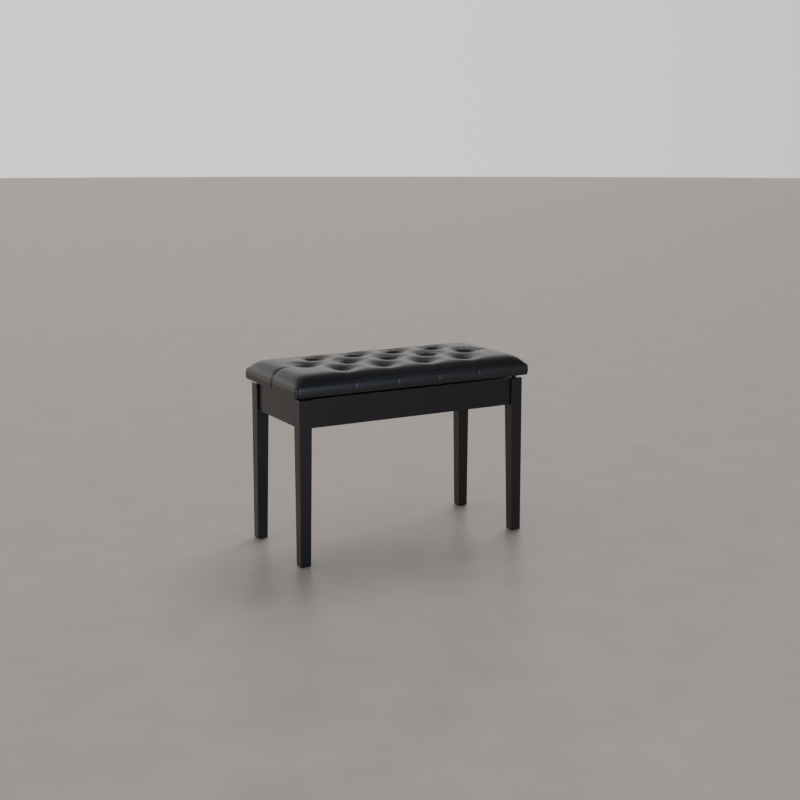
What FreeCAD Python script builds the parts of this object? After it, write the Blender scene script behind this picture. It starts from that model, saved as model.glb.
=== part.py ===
import FreeCAD, Part
import math
import os

# Piano bench with a tufted, hinged seat over a storage box.
# Millimetres. X runs along the bench, -Y is the front, +Z is up; the origin is on the floor, midway.

V = FreeCAD.Vector
OVERCUT = 1.0                 # how far a cutting shape runs past each face that it opens

# ---- driving dimensions -------------------------------------------------------------------------
SEAT_LENGTH = 740.0
SEAT_WIDTH = 350.0
FRAME_HEIGHT = 457.0          # floor to the tops of the legs and aprons
SEAT_OVERHANG = 14.0          # seat edge past the legs' outer faces
LID_GAP = 8.0                 # clear height between the frame and the seat's lining

LEG_SQUARE = 36.0
LEG_FOOT = 30.0
LEG_EDGE = 1.2                # flat on each long edge
TAPER_BELOW_APRON = 6.0

APRON_DEPTH = 78.0
APRON_THICK = 15.0
APRON_RECESS = 6.5            # apron face behind the leg faces

PANEL_THICK = 5.0
PANEL_LIFT = 8.0              # panel underside above the aprons' lower edges
GROOVE_DEPTH = 6.0
PANEL_PLAY = 0.5
GROOVE_PLAY = 0.1

DOWEL_R = 4.0
DOWEL_DEPTH = 14.0
DOWEL_HEIGHTS = (21.0, 63.0)  # above the aprons' lower edges
DOWEL_END_PLAY = 0.5

BLOCK_LEG = 52.0              # corner block's run along each apron
BLOCK_HEIGHT = 50.0
BLOCK_LIFT = 1.0              # clear of the panel
BLOCK_PLAY = 0.4
BOLT_R = 3.0
BOLT_HOLE_PLAY = 0.4
BOLT_IN_LEG = 20.0
BOLT_TAIL = 10.0
BOLT_HEIGHTS = (34.0, 50.0)
WASHER_R = 8.0
WASHER_THICK = 1.5
NUT_R = 5.8
NUT_THICK = 5.0

GLIDE_R = 10.0
GLIDE_THICK = 2.0
NAIL_R = 1.2
NAIL_LENGTH = 14.0

BOARD_THICK = 12.0
BAND_HEIGHT = 30.0            # upright sides of the seat, hem to welt
CROWN_HEIGHT = 24.2
COVER_THICK = 1.2
HEM_WIDTH = 32.0
LINING_THICK = 0.8
LINING_MARGIN = 24.0
SEAT_CORNER_R = 10.0
CORNER_SHRINK = 0.25          # loss of corner radius per mm that the plan is drawn in
CORNER_R_MIN = 2.5
CROWN_STEPS = ((0.0, 0.0), (7.0, 0.44), (20.0, 0.80), (42.0, 0.96), (75.0, 1.0))

BUTTON_END_MARGIN = 108.0
BUTTON_SIDE_MARGIN = 85.0
BUTTONS_PER_ROW = (4, 5, 4)
BUTTON_R = 6.5
BUTTON_THICK = 3.5
DIMPLE_DEPTH = 19.0
DIMPLE_FLOOR_R = 8.0
DIMPLE_MOUTH_R = 20.0
TWINE_R = 0.8

HINGE_LENGTH = 60.0
HINGE_FROM_CENTRE = 200.0
KNUCKLES = 5
KNUCKLE_PLAY = 0.3
LEAF_THICK = 1.5
LOWER_LEAF_LAP = 13.5
UPPER_LEAF_LAP = 20.0
PIN_R = 2.0
PIN_PLAY = 0.05
PIN_HEAD_R = 3.0
PIN_HEAD_THICK = 1.2
SCREW_R = 1.7
SCREW_HEAD_R = 3.3
SCREW_HEAD_DEPTH = 1.4
LONG_SCREW = 14.0
SHORT_SCREW = 11.0
HINGE_SCREW_SPREAD = 22.0

STAY_PLATE = 2.0
STAY_WIDTH = 12.0
STAY_LAYER_PLAY = 0.3
STAY_REACH = 150.0            # hinge axis to the seat pivot, along the seat
STAY_SEAT_DROP = 5.0          # seat pivot below the hinge axis
STAY_FRAME_DROP = 55.0        # frame pivot below the hinge axis
STAY_WALL_GAP = 11.0          # frame pivot in front of the rear apron's inner face
STAY_FROM_BLOCK = 3.0
STAY_FOOT = 20.0              # bracket foot, across
FRAME_FOOT_RISE = 32.0        # top of the frame bracket's foot above its pivot
FRAME_SCREW_HEIGHTS = (-4.0, 24.0)
SEAT_FOOT_HALF = 16.0         # seat bracket's foot, to each side of its pivot
SEAT_SCREW_STEPS = (-8.0, 8.0)
EAR_R = 8.0
RIVET_R = 2.5
RIVET_PLAY = 0.06
OPEN_PIVOT_PLAY = 0.3
RIVET_HEAD_R = 4.6
RIVET_HEAD = 1.4

BUMPER_R = 6.0

STAPLE_WIDTH = 10.0
STAPLE_WIRE = 0.7
STAPLE_LEG = 6.0
STAPLE_INSET = 5.0
STAPLE_PITCH = 58.0
STAPLE_CLEAR = 12.0

# ---- places that follow from them ---------------------------------------------------------------
LEG_X = SEAT_LENGTH / 2 - SEAT_OVERHANG
LEG_Y = SEAT_WIDTH / 2 - SEAT_OVERHANG
APRON_X = LEG_X - APRON_RECESS                # outer faces of the aprons
APRON_Y = LEG_Y - APRON_RECESS
INNER_X = APRON_X - APRON_THICK               # inner faces
INNER_Y = APRON_Y - APRON_THICK
APRON_FOOT = FRAME_HEIGHT - APRON_DEPTH
PANEL_Z = APRON_FOOT + PANEL_LIFT
PANEL_TOP = PANEL_Z + PANEL_THICK

BARREL_R = LID_GAP / 2
HINGE_Y = APRON_Y + BARREL_R
HINGE_Z = FRAME_HEIGHT + BARREL_R

LINING_Z = FRAME_HEIGHT + LID_GAP
HEM_Z = LINING_Z + LINING_THICK
BOARD_Z = HEM_Z + COVER_THICK
BOARD_TOP = BOARD_Z + BOARD_THICK
BAND_TOP = HEM_Z + BAND_HEIGHT
SEAT_TOP = BAND_TOP + CROWN_HEIGHT

STAY_X = INNER_X - BLOCK_LEG - STAY_FROM_BLOCK            # outer face of the stay's frame ear
STAY_PITCH = STAY_PLATE + STAY_LAYER_PLAY
PIVOT_FRAME = (INNER_Y - STAY_WALL_GAP, HINGE_Z - STAY_FRAME_DROP)
PIVOT_SEAT = (HINGE_Y - STAY_REACH, HINGE_Z - STAY_SEAT_DROP)
PIVOT_KNEE = (
    PIVOT_SEAT[0] + PIVOT_FRAME[0] - HINGE_Y,
    PIVOT_SEAT[1] + PIVOT_FRAME[1] - HINGE_Z,
)

LEFT, RIGHT = -1, 1
FRONT, REAR = -1, 1
ENDS = (("left", LEFT), ("right", RIGHT))
CORNERS = (
    ("front_left", LEFT, FRONT),
    ("front_right", RIGHT, FRONT),
    ("rear_left", LEFT, REAR),
    ("rear_right", RIGHT, REAR),
)


# ---- shape helpers ------------------------------------------------------------------------------
def block(x0, x1, y0, y1, z0, z1):
    """Box between two corners given in either order."""
    xs, ys, zs = sorted((x0, x1)), sorted((y0, y1)), sorted((z0, z1))
    return Part.makeBox(xs[1] - xs[0], ys[1] - ys[0], zs[1] - zs[0], V(xs[0], ys[0], zs[0]))


def rod(radius, length, base, direction):
    return Part.makeCylinder(radius, length, base, direction)


def polygon(points):
    return Part.makePolygon(list(points) + [points[0]])


def prism(points, direction):
    return Part.Face(polygon(points)).extrude(direction)


def fused(solids):
    shape = solids[0].multiFuse(solids[1:]) if len(solids) > 1 else solids[0]
    return shape.removeSplitter()


def cut_by(shape, cutters):
    return shape.cut(Part.makeCompound(cutters)) if cutters else shape


def mirrored(shape, side):
    """A right-hand piece, or its mirror image at the left end."""
    return shape if side == RIGHT else shape.mirror(V(0, 0, 0), V(1, 0, 0))


def screw(place, direction, length):
    """Countersunk wood screw: its head's flat outer face is at the given place."""
    head = Part.makeCone(SCREW_HEAD_R, SCREW_R, SCREW_HEAD_DEPTH, place, direction)
    return fused([head, rod(SCREW_R, length, place, direction)])


# ---- base frame ---------------------------------------------------------------------------------
def leg_section(x_sign, y_sign, width, z, inset=0.0):
    """Square with its corners flattened, its outer corner under the frame's outer corner."""
    x_out, y_out = LEG_X - inset, LEG_Y - inset
    x_in, y_in = LEG_X - width + inset, LEG_Y - width + inset
    e = LEG_EDGE
    plan = [
        (x_out, y_out - e), (x_out - e, y_out), (x_in + e, y_out), (x_in, y_out - e),
        (x_in, y_in + e), (x_in + e, y_in), (x_out - e, y_in), (x_out, y_in + e),
    ]
    return polygon([V(x_sign * x, y_sign * y, z) for x, y in plan])


def leg(x_sign, y_sign):
    taper_top = APRON_FOOT - TAPER_BELOW_APRON
    sections = [
        leg_section(x_sign, y_sign, LEG_FOOT, GLIDE_THICK),
        leg_section(x_sign, y_sign, LEG_SQUARE, taper_top),
        leg_section(x_sign, y_sign, LEG_SQUARE, FRAME_HEIGHT - LEG_EDGE),
        leg_section(x_sign, y_sign, LEG_SQUARE, FRAME_HEIGHT, LEG_EDGE / 2),
    ]
    post = Part.makeLoft(sections, True, True)
    return cut_by(post, dowel_holes(x_sign, y_sign) + leg_bolts(x_sign, y_sign) + [glide(x_sign, y_sign)])


def dowel_spans(x_sign, y_sign):
    """Base point and direction of each dowel beside one leg, out of the leg into the apron."""
    x_face, y_face = LEG_X - LEG_SQUARE, LEG_Y - LEG_SQUARE
    x_mid, y_mid = APRON_X - APRON_THICK / 2, APRON_Y - APRON_THICK / 2
    spans = []
    for height in DOWEL_HEIGHTS:
        z = APRON_FOOT + height
        along_x = V(x_sign * (x_face + DOWEL_DEPTH), y_sign * y_mid, z)
        along_y = V(x_sign * x_mid, y_sign * (y_face + DOWEL_DEPTH), z)
        spans.append((along_x, V(-x_sign, 0, 0)))
        spans.append((along_y, V(0, -y_sign, 0)))
    return spans


def dowels(x_sign, y_sign):
    return [rod(DOWEL_R, 2 * DOWEL_DEPTH, base, way) for base, way in dowel_spans(x_sign, y_sign)]


def dowel_holes(x_sign, y_sign):
    length = 2 * (DOWEL_DEPTH + DOWEL_END_PLAY)
    return [
        rod(DOWEL_R, length, base - way * DOWEL_END_PLAY, way)
        for base, way in dowel_spans(x_sign, y_sign)
    ]


def apron_groove():
    """Groove that holds the storage panel, as one ring cut from all four aprons."""
    z0, z1 = PANEL_Z - GROOVE_PLAY, PANEL_TOP + GROOVE_PLAY
    x, y = INNER_X + GROOVE_DEPTH, INNER_Y + GROOVE_DEPTH
    return block(-x, x, -y, y, z0, z1)


def long_apron(y_sign):
    x = LEG_X - LEG_SQUARE
    board = block(-x, x, y_sign * INNER_Y, y_sign * APRON_Y, APRON_FOOT, FRAME_HEIGHT)
    cutters = [apron_groove()] + dowel_holes(LEFT, y_sign) + dowel_holes(RIGHT, y_sign)
    if y_sign == REAR:
        cutters += lower_hinge_screws() + stay_frame_screws(LEFT) + stay_frame_screws(RIGHT)
    return cut_by(board, cutters)


def end_apron(x_sign):
    y = LEG_Y - LEG_SQUARE
    board = block(x_sign * INNER_X, x_sign * APRON_X, -y, y, APRON_FOOT, FRAME_HEIGHT)
    return cut_by(board, [apron_groove()] + dowel_holes(x_sign, FRONT) + dowel_holes(x_sign, REAR))


def storage_panel():
    x, y = INNER_X + GROOVE_DEPTH - PANEL_PLAY, INNER_Y + GROOVE_DEPTH - PANEL_PLAY
    sheet = block(-x, x, -y, y, PANEL_Z, PANEL_TOP)
    x_leg, y_leg = LEG_X - LEG_SQUARE - PANEL_PLAY, LEG_Y - LEG_SQUARE - PANEL_PLAY
    notches = [
        block(sx * x_leg, sx * LEG_X, sy * y_leg, sy * LEG_Y, PANEL_Z, PANEL_TOP)
        for _, sx, sy in CORNERS
    ]
    return cut_by(sheet, notches)


def corner_block(x_sign, y_sign):
    """Triangular block across an inside corner, notched round the leg."""
    notch_x = INNER_X - (LEG_X - LEG_SQUARE) + BLOCK_PLAY
    notch_y = INNER_Y - (LEG_Y - LEG_SQUARE) + BLOCK_PLAY
    plan = [(notch_x, 0), (BLOCK_LEG, 0), (0, BLOCK_LEG), (0, notch_y), (notch_x, notch_y)]
    z0 = PANEL_TOP + BLOCK_LIFT
    points = [V(x_sign * (INNER_X - u), y_sign * (INNER_Y - w), z0) for u, w in plan]
    wedge = prism(points, V(0, 0, BLOCK_HEIGHT))
    holes = [bolt_rod(x_sign, y_sign, h, BOLT_R + BOLT_HOLE_PLAY) for h in BOLT_HEIGHTS]
    return cut_by(wedge, holes)


def diagonal(x_sign, y_sign):
    """Unit vector from a leg towards the middle of the bench, level, at 45 degrees."""
    return V(-x_sign, -y_sign, 0) * math.sqrt(0.5)


def block_face_point(x_sign, y_sign, height):
    """Where a leg bolt comes out of the corner block's long face."""
    x_leg, y_leg = LEG_X - LEG_SQUARE, LEG_Y - LEG_SQUARE
    run = BLOCK_LEG - (INNER_X - x_leg) - (INNER_Y - y_leg)
    return V(x_sign * (x_leg - run / 2), y_sign * (y_leg - run / 2), APRON_FOOT + height)


def bolt_rod(x_sign, y_sign, height, radius):
    way = diagonal(x_sign, y_sign)
    out = block_face_point(x_sign, y_sign, height)
    corner = V(x_sign * (LEG_X - LEG_SQUARE), y_sign * (LEG_Y - LEG_SQUARE), out.z)
    start = corner - way * BOLT_IN_LEG
    return rod(radius, (out - start).Length + BOLT_TAIL, start, way)


def leg_bolts(x_sign, y_sign):
    return [bolt_rod(x_sign, y_sign, h, BOLT_R) for h in BOLT_HEIGHTS]


def leg_washers(x_sign, y_sign):
    way = diagonal(x_sign, y_sign)
    rings = []
    for height in BOLT_HEIGHTS:
        disc = rod(WASHER_R, WASHER_THICK, block_face_point(x_sign, y_sign, height), way)
        rings.append(disc.cut(bolt_rod(x_sign, y_sign, height, BOLT_R + BOLT_HOLE_PLAY / 2)))
    return rings


def leg_nuts(x_sign, y_sign):
    way = diagonal(x_sign, y_sign)
    across = V(0, 0, 1).cross(way)
    nuts = []
    for height in BOLT_HEIGHTS:
        centre = block_face_point(x_sign, y_sign, height) + way * WASHER_THICK
        angles = [math.radians(60 * k) for k in range(6)]
        rim = [centre + across * (NUT_R * math.cos(a)) + V(0, 0, NUT_R * math.sin(a)) for a in angles]
        nuts.append(prism(rim, way * NUT_THICK).cut(bolt_rod(x_sign, y_sign, height, BOLT_R)))
    return nuts


def glide(x_sign, y_sign):
    """Plastic glide with its nail, under the middle of one foot."""
    centre = V(x_sign * (LEG_X - LEG_FOOT / 2), y_sign * (LEG_Y - LEG_FOOT / 2), 0)
    pad = rod(GLIDE_R, GLIDE_THICK, centre, V(0, 0, 1))
    nail = rod(NAIL_R, NAIL_LENGTH, centre + V(0, 0, GLIDE_THICK / 2), V(0, 0, 1))
    return fused([pad, nail])


def bumper(x_sign):
    """Rubber buffer on a front leg's top, which the closed seat rests on."""
    middle = LEG_SQUARE / 2
    place = V(x_sign * (LEG_X - middle), FRONT * (LEG_Y - middle), FRAME_HEIGHT)
    return rod(BUMPER_R, LID_GAP, place, V(0, 0, 1))


# ---- seat hinges --------------------------------------------------------------------------------
def knuckle_spans(middle):
    """Start and end of each knuckle along one hinge."""
    pitch = HINGE_LENGTH / KNUCKLES
    start = middle - HINGE_LENGTH / 2
    half = KNUCKLE_PLAY / 2
    return [(start + k * pitch + half, start + (k + 1) * pitch - half) for k in range(KNUCKLES)]


def hinge_leaf(side, parity, z0, lap, screws):
    """Leaf whose plate lies against the wood and runs tangent into its own knuckles."""
    middle = side * HINGE_FROM_CENTRE
    spans = knuckle_spans(middle)
    own, other = spans[parity::2], spans[1 - parity::2]
    half = HINGE_LENGTH / 2
    back = HINGE_Y - BARREL_R
    parts = [block(middle - half, middle + half, back - lap, HINGE_Y, z0, z0 + LEAF_THICK)]
    for x0, x1 in own:
        parts.append(rod(BARREL_R, x1 - x0, V(x0, HINGE_Y, HINGE_Z), V(1, 0, 0)))
    leaf = fused(parts)
    play = KNUCKLE_PLAY
    low, high = z0 - OVERCUT, z0 + LEAF_THICK + OVERCUT
    slots = [
        block(x0 - play, x1 + play, back - play, HINGE_Y + OVERCUT, low, high)
        for x0, x1 in other
    ]
    bore_start = V(middle - half - OVERCUT, HINGE_Y, HINGE_Z)
    bore = rod(PIN_R + PIN_PLAY, HINGE_LENGTH + 2 * OVERCUT, bore_start, V(1, 0, 0))
    return cut_by(leaf, slots + [bore] + screws)


def hinge_pin(side):
    middle, half = side * HINGE_FROM_CENTRE, HINGE_LENGTH / 2
    axis = V(1, 0, 0)
    body = rod(PIN_R, HINGE_LENGTH, V(middle - half, HINGE_Y, HINGE_Z), axis)
    heads = [
        rod(PIN_HEAD_R, PIN_HEAD_THICK, V(middle - half - PIN_HEAD_THICK, HINGE_Y, HINGE_Z), axis),
        rod(PIN_HEAD_R, PIN_HEAD_THICK, V(middle + half, HINGE_Y, HINGE_Z), axis),
    ]
    return fused([body] + heads)


def hinge_screw_xs(side):
    middle = side * HINGE_FROM_CENTRE
    return [middle + step * HINGE_SCREW_SPREAD for step in (-1, 0, 1)]


def lower_hinge_screws(sides=(LEFT, RIGHT)):
    y = APRON_Y - APRON_THICK / 2
    z = FRAME_HEIGHT + LEAF_THICK
    return [screw(V(x, y, z), V(0, 0, -1), LONG_SCREW) for s in sides for x in hinge_screw_xs(s)]


def upper_hinge_screws(sides=(LEFT, RIGHT)):
    y = HINGE_Y - BARREL_R - UPPER_LEAF_LAP / 2
    z = LINING_Z - LEAF_THICK
    return [screw(V(x, y, z), V(0, 0, 1), SHORT_SCREW) for s in sides for x in hinge_screw_xs(s)]


# ---- folding stays ------------------------------------------------------------------------------
# The frame pivot, the hinge axis, the seat pivot and the knee are the corners of a parallelogram,
# so the long arm always lies parallel to the seat and the short arm never turns.
def stay_layer(index):
    """Outer and inner X faces of a layer, counted inwards from the frame ear."""
    outer = STAY_X - index * STAY_PITCH
    return outer - STAY_PLATE, outer


def yz(x, point):
    return V(x, point[0], point[1])


def plate_hole(radius, x0, point):
    """Cutter for a hole across a stay's plate whose outer face is at x0."""
    return rod(radius, STAY_PLATE + 2 * OVERCUT, yz(x0 - OVERCUT, point), V(1, 0, 0))


def arm(layer, start, end, start_hole, end_hole):
    """Flat steel link with round ends, from one pivot to the other."""
    x0, x1 = stay_layer(layer)
    run = yz(0, end) - yz(0, start)
    side_step = run.cross(V(1, 0, 0)).normalize() * (STAY_WIDTH / 2)
    a, b = yz(x0, start), yz(x0, end)
    bar = prism([a + side_step, b + side_step, b - side_step, a - side_step], V(STAY_PLATE, 0, 0))
    caps = [rod(STAY_WIDTH / 2, STAY_PLATE, p, V(1, 0, 0)) for p in (a, b)]
    holes = [plate_hole(start_hole, x0, start), plate_hole(end_hole, x0, end)]
    return cut_by(fused([bar] + caps), holes)


def lower_arm(side):
    hole = RIVET_R + RIVET_PLAY
    return mirrored(arm(1, PIVOT_FRAME, PIVOT_KNEE, hole, RIVET_R), side)


def upper_arm(side):
    knee_hole, seat_hole = RIVET_R + RIVET_PLAY, RIVET_R + OPEN_PIVOT_PLAY
    return mirrored(arm(2, PIVOT_KNEE, PIVOT_SEAT, knee_hole, seat_hole), side)


def rivet(point, first_layer, last_layer):
    """Headed pin through a run of layers; each head stands off by the layers' play."""
    outer = stay_layer(first_layer)[1] + STAY_LAYER_PLAY
    inner = stay_layer(last_layer)[0] - STAY_LAYER_PLAY
    axis = V(1, 0, 0)
    return fused([
        rod(RIVET_R, outer - inner, yz(inner, point), axis),
        rod(RIVET_HEAD_R, RIVET_HEAD, yz(outer, point), axis),
        rod(RIVET_HEAD_R, RIVET_HEAD, yz(inner - RIVET_HEAD, point), axis),
    ])


def frame_rivet(side):
    return mirrored(rivet(PIVOT_FRAME, 0, 1), side)


def knee_rivet(side):
    return mirrored(rivet(PIVOT_KNEE, 1, 2), side)


def seat_rivet(side):
    return mirrored(rivet(PIVOT_SEAT, 2, 3), side)


def stay_frame_screw_places():
    x = stay_layer(0)[0] - STAY_FOOT / 2
    z = PIVOT_FRAME[1]
    return [V(x, INNER_Y - STAY_PLATE, z + step) for step in FRAME_SCREW_HEIGHTS]


def stay_frame_screws(side):
    return [mirrored(screw(p, V(0, 1, 0), SHORT_SCREW), side) for p in stay_frame_screw_places()]


def frame_bracket(side):
    """Angle plate on the rear apron's inner face, with an ear that carries the long arm."""
    x0, x1 = stay_layer(0)
    y, z = PIVOT_FRAME
    ear = [
        block(x0, x1, y, INNER_Y, z - EAR_R, z + EAR_R),
        rod(EAR_R, STAY_PLATE, V(x0, y, z), V(1, 0, 0)),
    ]
    foot = block(x0 - STAY_FOOT, x1, INNER_Y - STAY_PLATE, INNER_Y, z - EAR_R, z + FRAME_FOOT_RISE)
    plate = fused(ear + [foot])
    plate = plate.cut(plate_hole(RIVET_R, x0, PIVOT_FRAME))
    return cut_by(mirrored(plate, side), stay_frame_screws(side))


def stay_seat_screw_places():
    x = stay_layer(3)[1] + STAY_FOOT / 2
    return [V(x, PIVOT_SEAT[0] + step, LINING_Z - STAY_PLATE) for step in SEAT_SCREW_STEPS]


def stay_seat_screws(side):
    return [mirrored(screw(p, V(0, 0, 1), SHORT_SCREW), side) for p in stay_seat_screw_places()]


def seat_bracket(side):
    """Angle plate under the seat, its foot turned outwards, with an ear that carries the short arm."""
    x0, x1 = stay_layer(3)
    y, z = PIVOT_SEAT
    ear = [
        block(x0, x1, y - EAR_R, y + EAR_R, z, LINING_Z),
        rod(EAR_R, STAY_PLATE, V(x0, y, z), V(1, 0, 0)),
    ]
    foot = block(
        x0, x1 + STAY_FOOT, y - SEAT_FOOT_HALF, y + SEAT_FOOT_HALF, LINING_Z - STAY_PLATE, LINING_Z
    )
    plate = fused(ear + [foot])
    plate = plate.cut(plate_hole(RIVET_R, x0, PIVOT_SEAT))
    return cut_by(mirrored(plate, side), stay_seat_screws(side))


# ---- seat ---------------------------------------------------------------------------------------
def rounded_plan(inset, z):
    """Seat's plan at one height: a rectangle with round corners, drawn in by an inset."""
    x, y = SEAT_LENGTH / 2 - inset, SEAT_WIDTH / 2 - inset
    r = max(SEAT_CORNER_R - CORNER_SHRINK * inset, CORNER_R_MIN)
    k = r * (1 - math.sqrt(0.5))
    corners = [(1, 1), (-1, 1), (-1, -1), (1, -1)]
    stops = []
    for sx, sy in corners:
        first = (sx * x, sy * (y - r)) if sx == sy else (sx * (x - r), sy * y)
        last = (sx * (x - r), sy * y) if sx == sy else (sx * x, sy * (y - r))
        stops.append((first, (sx * (x - k), sy * (y - k)), last))
    edges = []
    for index, (first, mid, last) in enumerate(stops):
        edges.append(Part.Arc(V(*first, z), V(*mid, z), V(*last, z)).toShape())
        following = stops[(index + 1) % 4][0]
        edges.append(Part.makeLine(V(*last, z), V(*following, z)))
    return Part.Wire(edges)


def seat_body(skin, z_bottom):
    """Upright band and crowned top of the seat, drawn in on every side by a skin thickness."""
    sections = [rounded_plan(skin, z_bottom)]
    for inset, rise in CROWN_STEPS:
        sections.append(rounded_plan(inset + skin, BAND_TOP + rise * CROWN_HEIGHT - skin))
    band = Part.makeLoft(sections[:2], True, True)
    crown = Part.makeLoft(sections[1:], True, True)
    body = band.fuse(crown)
    return cut_by(body, [dimple(x, y, skin) for x, y in button_places()])


def button_places():
    """Buttons at equal steps between the end margins, the outer rows half a step aside."""
    reach = SEAT_LENGTH / 2 - BUTTON_END_MARGIN
    row_y = SEAT_WIDTH / 2 - BUTTON_SIDE_MARGIN
    step = 2 * reach / (max(BUTTONS_PER_ROW) - 1)
    places = []
    for row, count in zip((-1, 0, 1), BUTTONS_PER_ROW):
        places += [((k - (count - 1) / 2) * step, row * row_y) for k in range(count)]
    return places


def dimple(x, y, skin):
    """Conical pit that a button pulls into the seat."""
    floor_z = SEAT_TOP - DIMPLE_DEPTH - skin
    top_z = SEAT_TOP + OVERCUT
    slope = (DIMPLE_MOUTH_R - DIMPLE_FLOOR_R) / DIMPLE_DEPTH
    mouth = DIMPLE_FLOOR_R + skin + slope * (top_z - floor_z)
    return Part.makeCone(DIMPLE_FLOOR_R + skin, mouth, top_z - floor_z, V(x, y, floor_z))


def seat_cover():
    window = block(
        SEAT_LENGTH / 2 - HEM_WIDTH, -SEAT_LENGTH / 2 + HEM_WIDTH,
        SEAT_WIDTH / 2 - HEM_WIDTH, -SEAT_WIDTH / 2 + HEM_WIDTH, HEM_Z - OVERCUT, BOARD_Z + OVERCUT,
    )
    shell = seat_body(0.0, HEM_Z).cut(seat_body(COVER_THICK, BOARD_Z)).cut(window)
    return cut_by(shell, button_twines() + upper_hinge_screws())


def seat_foam():
    inside = seat_body(COVER_THICK, BOARD_TOP)
    return cut_by(inside, button_twines())


def lid_board():
    plan = Part.Face(rounded_plan(COVER_THICK, BOARD_Z))
    board = plan.extrude(V(0, 0, BOARD_THICK))
    screws = upper_hinge_screws() + stay_seat_screws(LEFT) + stay_seat_screws(RIGHT)
    return cut_by(board, screws + button_twines())


def button(x, y):
    """Domed button covered like the seat, seated on the dimple's floor."""
    floor_z = SEAT_TOP - DIMPLE_DEPTH
    disc = rod(BUTTON_R, BUTTON_THICK, V(x, y, floor_z), V(0, 0, 1))
    dome_r = (BUTTON_R ** 2 + BUTTON_THICK ** 2) / (2 * BUTTON_THICK)
    dome = Part.makeSphere(dome_r, V(x, y, floor_z + BUTTON_THICK - dome_r))
    return disc.common(dome).cut(twine(x, y))


def twine(x, y):
    """Cord from a button down through the foam to the underside of the board."""
    top_z = SEAT_TOP - DIMPLE_DEPTH + BUTTON_THICK / 2
    return rod(TWINE_R, top_z - BOARD_Z, V(x, y, BOARD_Z), V(0, 0, 1))


def button_twines():
    return [twine(x, y) for x, y in button_places()]


def lid_lining():
    x, y = SEAT_LENGTH / 2 - LINING_MARGIN, SEAT_WIDTH / 2 - LINING_MARGIN
    sheet = block(-x, x, -y, y, LINING_Z, HEM_Z)
    return cut_by(sheet, upper_hinge_screws() + stay_seat_screws(LEFT) + stay_seat_screws(RIGHT))


def staple(x, y, along):
    """Wire staple driven up through the lining, with its crown along X or Y."""
    half, wire = STAPLE_WIDTH / 2, STAPLE_WIRE / 2
    way, side = (V(1, 0, 0), V(0, 1, 0)) if along == "x" else (V(0, 1, 0), V(1, 0, 0))
    place = V(x, y, LINING_Z)
    low, high = place - V(0, 0, STAPLE_WIRE), place + V(0, 0, STAPLE_LEG)

    def bar(start, end, z0, z1):
        a, b = way * start - side * wire, way * end + side * wire
        return block(x + a.x, x + b.x, y + a.y, y + b.y, z0, z1)

    crown = bar(-half, half, low.z, place.z)
    legs = [bar(s * half, s * (half - STAPLE_WIRE), low.z, high.z) for s in (-1, 1)]
    return fused([crown] + legs)


def even_stops(half):
    """Positions at about one staple pitch, evenly spread between two ends."""
    count = max(2, round(2 * half / STAPLE_PITCH) + 1)
    return [-half + 2 * half * k / (count - 1) for k in range(count)]


def lining_staples():
    x_row = SEAT_LENGTH / 2 - LINING_MARGIN - STAPLE_INSET
    y_row = SEAT_WIDTH / 2 - LINING_MARGIN - STAPLE_INSET
    taken = HINGE_LENGTH / 2 + STAPLE_CLEAR
    staples = []
    for x in even_stops(x_row - LEG_SQUARE):
        staples.append(staple(x, -y_row, "x"))
        if abs(abs(x) - HINGE_FROM_CENTRE) > taken:
            staples.append(staple(x, y_row, "x"))
    for y in even_stops(y_row - LEG_SQUARE):
        staples += [staple(-x_row, y, "y"), staple(x_row, y, "y")]
    return staples


# ---- nodes --------------------------------------------------------------------------------------
def frame_nodes():
    nodes = {}
    for name, sx, sy in CORNERS:
        nodes["leg_" + name] = leg(sx, sy)
        nodes["corner_block_" + name] = corner_block(sx, sy)
    nodes["front_apron"] = long_apron(FRONT)
    nodes["rear_apron"] = long_apron(REAR)
    nodes["storage_panel"] = storage_panel()
    for name, side in ENDS:
        nodes[name + "_apron"] = end_apron(side)
        nodes["hinge_lower_leaf_" + name] = hinge_leaf(
            side, 0, FRAME_HEIGHT, LOWER_LEAF_LAP, lower_hinge_screws([side])
        )
        nodes["hinge_pin_" + name] = hinge_pin(side)
        nodes["stay_frame_bracket_" + name] = frame_bracket(side)
        nodes["stay_frame_rivet_" + name] = frame_rivet(side)
    per_corner = {
        "apron_dowels": dowels, "leg_bolts": leg_bolts,
        "leg_washers": leg_washers, "leg_nuts": leg_nuts,
    }
    for name, make in per_corner.items():
        nodes[name] = [solid for _, sx, sy in CORNERS for solid in make(sx, sy)]
    nodes["floor_glides"] = [glide(sx, sy) for _, sx, sy in CORNERS]
    nodes["seat_bumpers"] = [bumper(side) for _, side in ENDS]
    nodes["hinge_screws_lower"] = lower_hinge_screws()
    nodes["stay_screws_frame"] = stay_frame_screws(LEFT) + stay_frame_screws(RIGHT)
    return nodes


def seat_nodes():
    nodes = {
        "lid_board": lid_board(),
        "seat_foam": seat_foam(),
        "seat_cover": seat_cover(),
        "seat_buttons": [button(x, y) for x, y in button_places()],
        "button_twines": button_twines(),
        "lid_lining": lid_lining(),
        "lining_staples": lining_staples(),
        "hinge_screws_upper": upper_hinge_screws(),
        "stay_screws_seat": stay_seat_screws(LEFT) + stay_seat_screws(RIGHT),
    }
    leaf_z = LINING_Z - LEAF_THICK
    for name, side in ENDS:
        nodes["hinge_upper_leaf_" + name] = hinge_leaf(
            side, 1, leaf_z, UPPER_LEAF_LAP, upper_hinge_screws([side])
        )
        nodes["stay_seat_bracket_" + name] = seat_bracket(side)
        nodes["stay_seat_rivet_" + name] = seat_rivet(side)
    return nodes


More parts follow.
